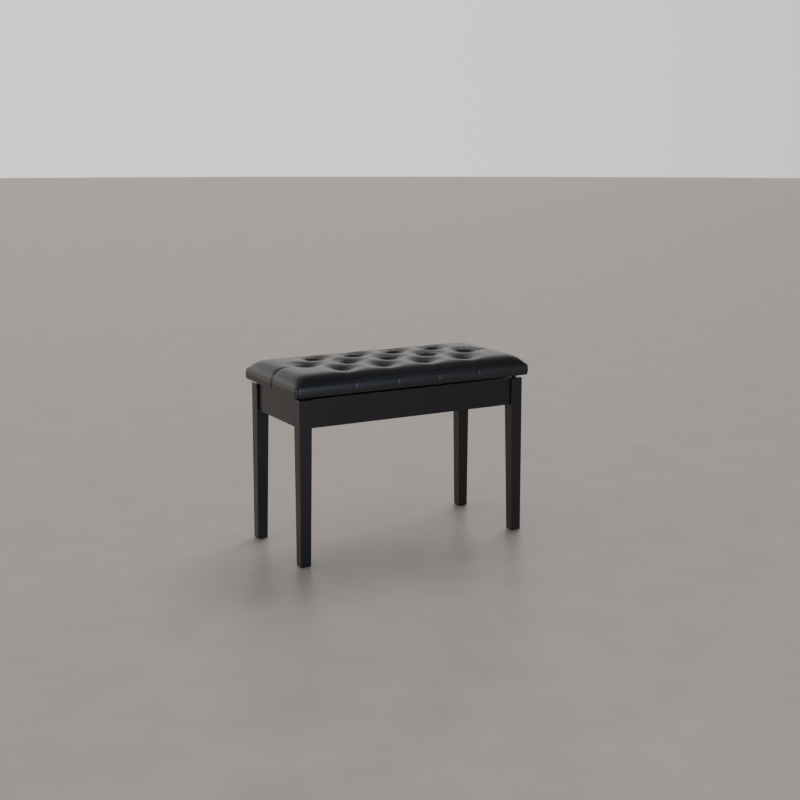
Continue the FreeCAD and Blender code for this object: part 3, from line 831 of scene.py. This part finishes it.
    def outward(self, rim: np.ndarray) -> np.ndarray:
        """Find the way out of the seat at its border: away from the rectangle inside its corners.

        Args:
            rim: Points of the border.

        Returns:
            A unit plan direction for each.
        """
        straight = self.half - self.corner_radius
        way = rim[:, :2] - np.clip(rim[:, :2], -straight, straight)
        return way / np.linalg.norm(way, axis=1, keepdims=True)

    def band_pull(self, rim: np.ndarray, way: np.ndarray) -> np.ndarray:
        """Work out how deep the band's upright seams pull it in, at the sides, ends and corners.

        Args:
            rim: Points of the border.
            way: The outward direction at each.

        Returns:
            The depth at each point.
        """
        long_side = np.abs(way[:, 1]) > np.abs(way[:, 0])
        pull = np.zeros(len(rim))
        for sx in self.seam_x:
            pull += np.where(long_side, self.side_seam.across(rim[:, 0] - sx), 0)
        pull += np.where(long_side, 0, self.end_seam.across(rim[:, 1] - self.end_seam_y))
        turn = np.arctan2(np.abs(way[:, 1]), np.abs(way[:, 0])) - math.pi / 4
        return pull + self.corner_seam.across(self.corner_radius * turn)

    def band_profile(self, edge: tuple[tuple[float, float], ...]) -> list[tuple[float, float, float]]:
        """Work out the band's rings from the top down: edge, panel and quarter-round foot.

        The panel bulges as sin(pi * u)^fullness, with u running from its start to the same short
        of 1.

        Args:
            edge: The top edge's own profile.

        Returns:
            The outward distance, height and seam strength of each ring.
        """
        rings = [(d * MM, self.band_top + z * MM, self.edge_pull) for d, z in edge]
        top, foot = self.band_top - self.edge_height, self.low.z + self.foot_radius
        for t in np.linspace(0, 1, self.panel_rings):
            u = self.panel_start + (1 - 2 * self.panel_start) * t
            bulge = self.panel_bulge * math.sin(math.pi * u) ** self.panel_fullness
            rings.append((self.edge_inset + bulge, top + (foot - top) * t, self.panel_pull))
        last = rings[-1][0]
        for angle in np.linspace(0, math.pi / 2, self.foot_rings + 1)[1:]:
            rings.append((last - self.foot_radius * (1 - math.cos(angle)),
                          self.low.z + self.foot_radius * (1 - math.sin(angle)), math.cos(angle)))
        return rings

    def build_cover(self, vinyl: Material) -> Object:
        """Make the cover: tufted top, edge, upright band and turned-under hem.

        The soft edge becomes the rolled one as the border turns from an end to a long side.

        Args:
            vinyl: Its finish.

        Returns:
            The cover.
        """
        points, quads, border, flat = self.surface()
        rim = points[border]
        way = self.outward(rim)
        pull = self.band_pull(rim, way)
        rolled = ramp(np.abs(way[:, 1]), *self.roll_turn)
        rings = []
        for at_end, at_side in zip(self.band_profile(self.soft_edge), self.band_profile(self.rolled_edge)):
            out = at_end[0] + (at_side[0] - at_end[0]) * rolled
            z = at_end[1] + (at_side[1] - at_end[1]) * rolled
            deepest = np.where(z < self.board_top, out - self.board_cover, out + self.edge_inset)
            inset = np.clip(pull * at_side[2], 0, np.maximum(deepest, 0))
            rings.append(np.column_stack([rim[:, :2] + way * (out - inset)[:, None], z]))
        inner = np.column_stack([flat * (1 - self.hem_width / self.half), np.full(len(flat), self.low.z)])
        last = rings[-1]
        rings += [last * (1 - t) + inner * t for t in self.hem_steps]
        stacked = np.concatenate([points, *rings])
        strip = grid_faces(len(rings), len(border), start=len(points), wrap=True)
        faces = np.concatenate([quads, skirt_faces(border, len(points)), strip[:, ::-1]])
        cover = new_piece("seat_cover_tufted", stacked, faces, vinyl, "seat")
        add_solidify(cover, self.cover_thick)
        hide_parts("seat_cover")
        return cover

    def build_foam(self, foam: Material) -> Object:
        """Make the foam pad under the cover: the same top drawn in, upright sides and a flat base.

        Args:
            foam: Its finish.

        Returns:
            The pad.
        """
        points, quads, border, _ = self.surface(drop=self.cover_thick + self.foam_gap)
        rim = points[border]
        base_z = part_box("seat_foam")[0].z
        ring = np.column_stack([rim[:, :2], np.full(len(rim), base_z)])
        centre = np.array([[0.0, 0.0, base_z]])
        stacked = np.concatenate([points, ring, centre])
        k = len(points) + np.arange(len(border))
        base = np.stack([np.full(len(border), len(stacked) - 1), np.roll(k, -1), k], axis=-1)
        faces = [*quads.tolist(), *skirt_faces(border, len(points)).tolist(), *base.tolist()]
        pad = new_piece("seat_foam_pad", stacked, faces, foam, "seat")
        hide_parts("seat_foam")
        return pad

    def build_buttons(self, vinyl: Material) -> Object:
        """Make the covered buttons: a shallow dome over a rolled rim, turned round each centre.

        The dome's radius and height are the sine and cosine of a quarter turn, stretched to size.

        Args:
            vinyl: Their finish.

        Returns:
            All the buttons as one piece.
        """
        t = np.linspace(0, 1, self.button_rings + 1)[1:] * math.pi / 2
        rim_low, rim_high = self.button_rim
        radius = self.button_radius * np.concatenate([np.sin(t), self.button_under])
        rise = np.concatenate([self.button_dome * np.cos(t) + rim_high, [rim_low, 0.0]])
        angles = np.linspace(0, 2 * math.pi, self.button_sides, endpoint=False)
        rings = np.stack([
            radius[:, None] * np.cos(angles), radius[:, None] * np.sin(angles),
            np.repeat(rise[:, None], len(angles), axis=1),
        ], axis=-1).reshape(-1, 3)
        cap = np.concatenate([[[0, 0, self.button_dome + rim_high]], rings, [[0, 0, 0]]])
        n, last = len(angles), 1 + (len(radius) - 1) * len(angles)
        one = grid_faces(len(radius), n, start=1, wrap=True)[:, ::-1].tolist()
        one += [[0, 1 + k, 1 + (k + 1) % n] for k in range(n)]
        one += [[last + (k + 1) % n, last + k, len(cap) - 1] for k in range(n)]
        places = np.column_stack([self.buttons, np.full(len(self.buttons), self.button_z)])
        points = (cap[None] + places[:, None]).reshape(-1, 3)
        faces = [[v + index * len(cap) for v in f] for index in range(len(places)) for f in one]
        piece = new_piece("seat_button_caps", points, faces, vinyl, "seat")
        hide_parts("seat_buttons")
        return piece

    def build_lining(self, cloth: Material) -> Object:
        """Make the lining: a thin sheet, puckered between the staples along its edges.

        The puckers are sines along each edge, which fade as exp(-distance) towards the middle.

        Args:
            cloth: Its finish.

        Returns:
            The lining.
        """
        low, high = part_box("lid_lining")
        columns, rows = self.lining_grid
        gx, gy = np.meshgrid(np.linspace(low.x, high.x, columns), np.linspace(low.y, high.y, rows))
        u = (gx - low.x) / (high.x - low.x)
        v = (gy - low.y) / (high.y - low.y)
        pucker = np.zeros_like(u)
        for along, across, waves, fade in zip((u, v), (v, u), self.pucker_waves, self.pucker_fade):
            pucker += np.sin(along * math.pi * waves) * np.exp(-np.minimum(across, 1 - across) * fade)
        face = high.z - self.lining_inset + self.pucker_depth * pucker
        points = np.stack([gx, gy, face], axis=-1).reshape(-1, 3)
        lining = new_piece("lid_lining_cloth", points, grid_faces(rows, columns), cloth, "seat")
        add_solidify(lining, self.lining_thick)
        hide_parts("lid_lining")
        return lining

    def build(self, finishes: dict[str, Material]) -> None:
        """Make every piece of the seat.

        Args:
            finishes: Finishes of the bench by short name.
        """
        self.build_cover(finishes["vinyl"])
        self.build_foam(finishes["foam"])
        self.build_buttons(finishes["vinyl"])
        self.build_lining(finishes["lining"])


# ---- carried-over pieces ----
@dataclass
class BenchFrame:
    """Legs, aprons, hardware and other pieces that keep their designed shape."""

    by_node: dict[str, str] = field(default_factory=lambda: {
        "front_apron": "lacquer_x", "rear_apron": "lacquer_x",
        "left_apron": "lacquer_y", "right_apron": "lacquer_y",
        "storage_panel": "painted_ply", "apron_dowels": "beech", "lid_board": "plywood",
        "seat_foam": "foam", "button_twines": "twine", "lid_lining": "lining",
        "seat_cover": "vinyl", "seat_buttons": "vinyl",
        "seat_bumpers": "rubber", "floor_glides": "plastic",
        "leg_bolts": "zinc", "leg_washers": "zinc", "leg_nuts": "zinc", "lining_staples": "zinc",
    })
    by_start: dict[str, str] = field(default_factory=lambda: {
        "leg_": "lacquer_z", "corner_block": "pine", "hinge_": "nickel", "stay_": "zinc",
    })

    def finish_of(self, node: str) -> str:
        """Choose the finish of a designed piece.

        Args:
            node: The piece's name.

        Returns:
            The finish's short name.
        """
        if node in self.by_node:
            return self.by_node[node]
        return next(finish for start, finish in self.by_start.items() if node.startswith(start))

    def dress(self, finishes: dict[str, Material]) -> None:
        """Give every designed piece its finish.

        Args:
            finishes: Finishes of the bench by short name.
        """
        for name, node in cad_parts.items():
            material = finishes[self.finish_of(name)]
            for material_slot in node.material_slots:
                material_slot.material = material
            if not node.material_slots:
                node.data.materials.append(material)
            LOG.info("%s: %s", name, material.name)


# ---- studio ----
@dataclass
class Studio:
    """Pale floor, soft light and the camera.

    The world's side levels are how bright it is away from and at its bright side, its lift levels
    how bright low down and overhead, and each turn is where one level gives way to the other.
    """

    floor_radius: float = 45.0
    floor_sides: int = 96
    floor_dark: str = "#978a83"
    floor_light: str = "#aca19a"
    floor_roughness: float = 0.42
    mottle_per_metre: float = 6.0
    bright_way: tuple[float, float, float] = (-0.55, 0.83, 0.0)
    side_turn: tuple[float, float] = (-0.6, 0.5)
    side_levels: tuple[float, float] = (0.35, 1.0)
    lift_turn: tuple[float, float] = (0.12, 0.75)
    lift_levels: tuple[float, float] = (1.3, 0.34)
    far_tint: str = "#dfe8f6"
    bright_tint: str = "#f4f1ec"
    window_tint: str = "#b6c6e8"
    camera_place: tuple[float, float, float] = (-1.7143, -3.1019, 1.1194)
    yaw: float = 29.476
    pitch: float = 7.867
    lens: float = 56.25
    sensor_width: float = 36.0
    shift_down: float = 0.1

    def build_floor(self) -> Object:
        """Make a round floor of pale sealed concrete.

        Returns:
            The floor.
        """
        angles = np.linspace(0, 2 * math.pi, self.floor_sides, endpoint=False)
        rim = np.stack([np.cos(angles), np.sin(angles), 0 * angles], axis=-1) * self.floor_radius
        mesh = bpy.data.meshes.new("studio_floor")
        mesh.from_pydata(rim.tolist(), [], [list(range(len(rim)))])
        material, tree, shader, place = new_surface("floor_pale_concrete")
        mottle = add_node(tree, "TexNoise", links={"Vector": place},
                          values={"Scale": self.mottle_per_metre, "Detail": 8.0, "Roughness": 0.6})
        set_inputs(tree, shader, {"Roughness": self.floor_roughness},
                   {"Base Color": mix_colours(tree, mottle.outputs["Fac"], self.floor_dark, self.floor_light)})
        mesh.materials.append(material)
        floor = put_in_scene("studio_floor", mesh)
        return floor

    def build_world(self) -> None:
        """Light the room: bright low down behind and to the left, dim overhead and on the near side."""
        world = bpy.data.worlds.new("studio")
        bpy.context.scene.world = world
        world.use_nodes = True
        tree = world.node_tree
        tree.nodes.clear()
        way = add_node(tree, "TexCoord").outputs["Generated"]
        aim = add_node(tree, "VectorMath", values={1: self.bright_way}, links={0: way}, operation="DOT_PRODUCT")
        parts = add_node(tree, "SeparateXYZ", links={0: way})
        eased = []
        for value, ends in (
            (aim.outputs["Value"], (*self.side_turn, *self.side_levels)),
            (parts.outputs["Z"], (*self.lift_turn, *self.lift_levels)),
        ):
            values = dict(zip(("From Min", "From Max", "To Min", "To Max"), ends))
            eased.append(add_node(tree, "MapRange", values=values, links={"Value": value},
                                  interpolation_type="SMOOTHSTEP").outputs["Result"])
        side, lift = eased
        level = add_node(tree, "Math", links={0: side, 1: lift}, operation="MULTIPLY")
        tint = mix_colours(tree, side, self.far_tint, self.bright_tint)
        shade = add_node(tree, "Background", links={"Color": tint, "Strength": level.outputs["Value"]})
        add_node(tree, "OutputWorld", links={"Surface": shade.outputs["Background"]})

    def add_sun(self, name: str, way: tuple[float, float, float], power: float, spread_angle: float) -> None:
        """Add one wide soft source far off, seen only through what it lights.

        Args:
            name: Lamp name.
            way: Direction from the bench to the source.
            power: Strength in watts per square metre.
            spread_angle: Its width in degrees, which sets how soft its shadows are.
        """
        light = bpy.data.lights.new(name, "SUN")
        light.energy = power
        light.angle = math.radians(spread_angle)
        lamp = put_in_scene(name, light)
        lamp.rotation_euler = (-Vector(way)).to_track_quat("-Z", "Y").to_euler()
        lamp.visible_glossy = False

    def add_window(self, name: str, place: tuple[float, float, float], size: tuple[float, float],
                   power: float, colour: str) -> None:
        """Add one tall soft panel that faces the bench and shows in its gloss.

        Args:
            name: Lamp name.
            place: Middle of the panel.
            size: Width and height.
            power: Watts.
            colour: sRGB colour of its light.
        """
        light = bpy.data.lights.new(name, "AREA")
        light.shape = "RECTANGLE"
        light.size, light.size_y = size
        light.energy = power
        light.color = srgb(colour)[:3]
        lamp = put_in_scene(name, light)
        lamp.location = place
        lamp.visible_camera = False
        lamp.rotation_euler = (Vector((0.0, 0.0, place[2])) - Vector(place)).to_track_quat("-Z", "Y").to_euler()

    def build_camera(self) -> None:
        """Place the camera to the left of the bench's front, a little above it."""
        data = bpy.data.cameras.new("camera")
        data.lens = self.lens
        data.sensor_width = self.sensor_width
        data.shift_y = -self.shift_down
        camera = put_in_scene("camera", data)
        camera.location = self.camera_place
        camera.rotation_euler = (math.radians(90 - self.pitch), 0.0, -math.radians(self.yaw))
        bpy.context.scene.camera = camera

    def build(self) -> None:
        """Make the whole studio."""
        self.build_floor()
        self.build_world()
        self.add_sun("soft_overhead", way=(-0.1, 0.3, 1.0), power=0.9, spread_angle=110)
        self.add_sun("soft_key", way=(0.55, 0.45, 0.85), power=1.3, spread_angle=28)
        self.add_window("window_front", place=(-0.6, -4.4, 1.25), size=(3.6, 1.9), power=100,
                        colour=self.window_tint)
        self.build_camera()


def make_finishes() -> dict[str, Material]:
    """Make every finish of the bench.

    Returns:
        The materials by short name.
    """
    finishes: dict[str, Finish] = {
        "lacquer_x": SprayedLacquer("black_lacquer_along_x", Grain.LENGTH),
        "lacquer_y": SprayedLacquer("black_lacquer_along_y", Grain.DEPTH),
        "lacquer_z": SprayedLacquer("black_lacquer_along_z", Grain.HEIGHT),
        "painted_ply": SprayedLacquer("black_painted_plywood", Grain.LENGTH, "#111112", "#1a1a1a",
                                      pore=1.6 * MM),
        "vinyl": EmbossedVinyl(),
        "zinc": PlatedSteel("zinc_plated_steel", "#9fa3a8", "#c3c6ca", roughness=0.36),
        "nickel": PlatedSteel("nickel_plated_steel", "#b5ae9f", "#d3ccbd", roughness=0.28),
        "pine": SawnWood("pine_planed", Grain.HEIGHT, "#d6b483", "#b98d57"),
        "beech": SawnWood("beech_turned", Grain.LENGTH, "#cfa57b", "#b98a60", ring=2 * MM),
        "plywood": SawnWood("birch_plywood", Grain.LENGTH, "#cfb083", "#b08a5c", ring=9 * MM),
        "foam": Moulded("polyurethane_foam", "#cdbf8e", "#e6dbb2", roughness=0.9, texture=1.2 * MM,
                        depth=0.4 * MM),
        "lining": SpunbondCloth(),
        "rubber": Moulded("moulded_rubber", "#0e0e0e", "#181818", roughness=0.75, texture=0.8 * MM),
        "plastic": Moulded("moulded_nylon", "#101010", "#191919", roughness=0.5, texture=0.6 * MM),
        "twine": Moulded("waxed_twine", "#b9ab8c", "#d9cdb2", roughness=0.8, texture=0.5 * MM,
                         depth=0.2 * MM),
    }
    return {key: finish.build() for key, finish in finishes.items()}


def main() -> None:
    """Build the bench's looks around the frame."""
    logging.basicConfig(level=logging.INFO, format="%(name)s: %(message)s")
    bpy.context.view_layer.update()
    finishes = make_finishes()
    BenchFrame().dress(finishes)
    TuftedSeat().build(finishes)
    Studio().build()


if __name__ == "__main__":
    main()
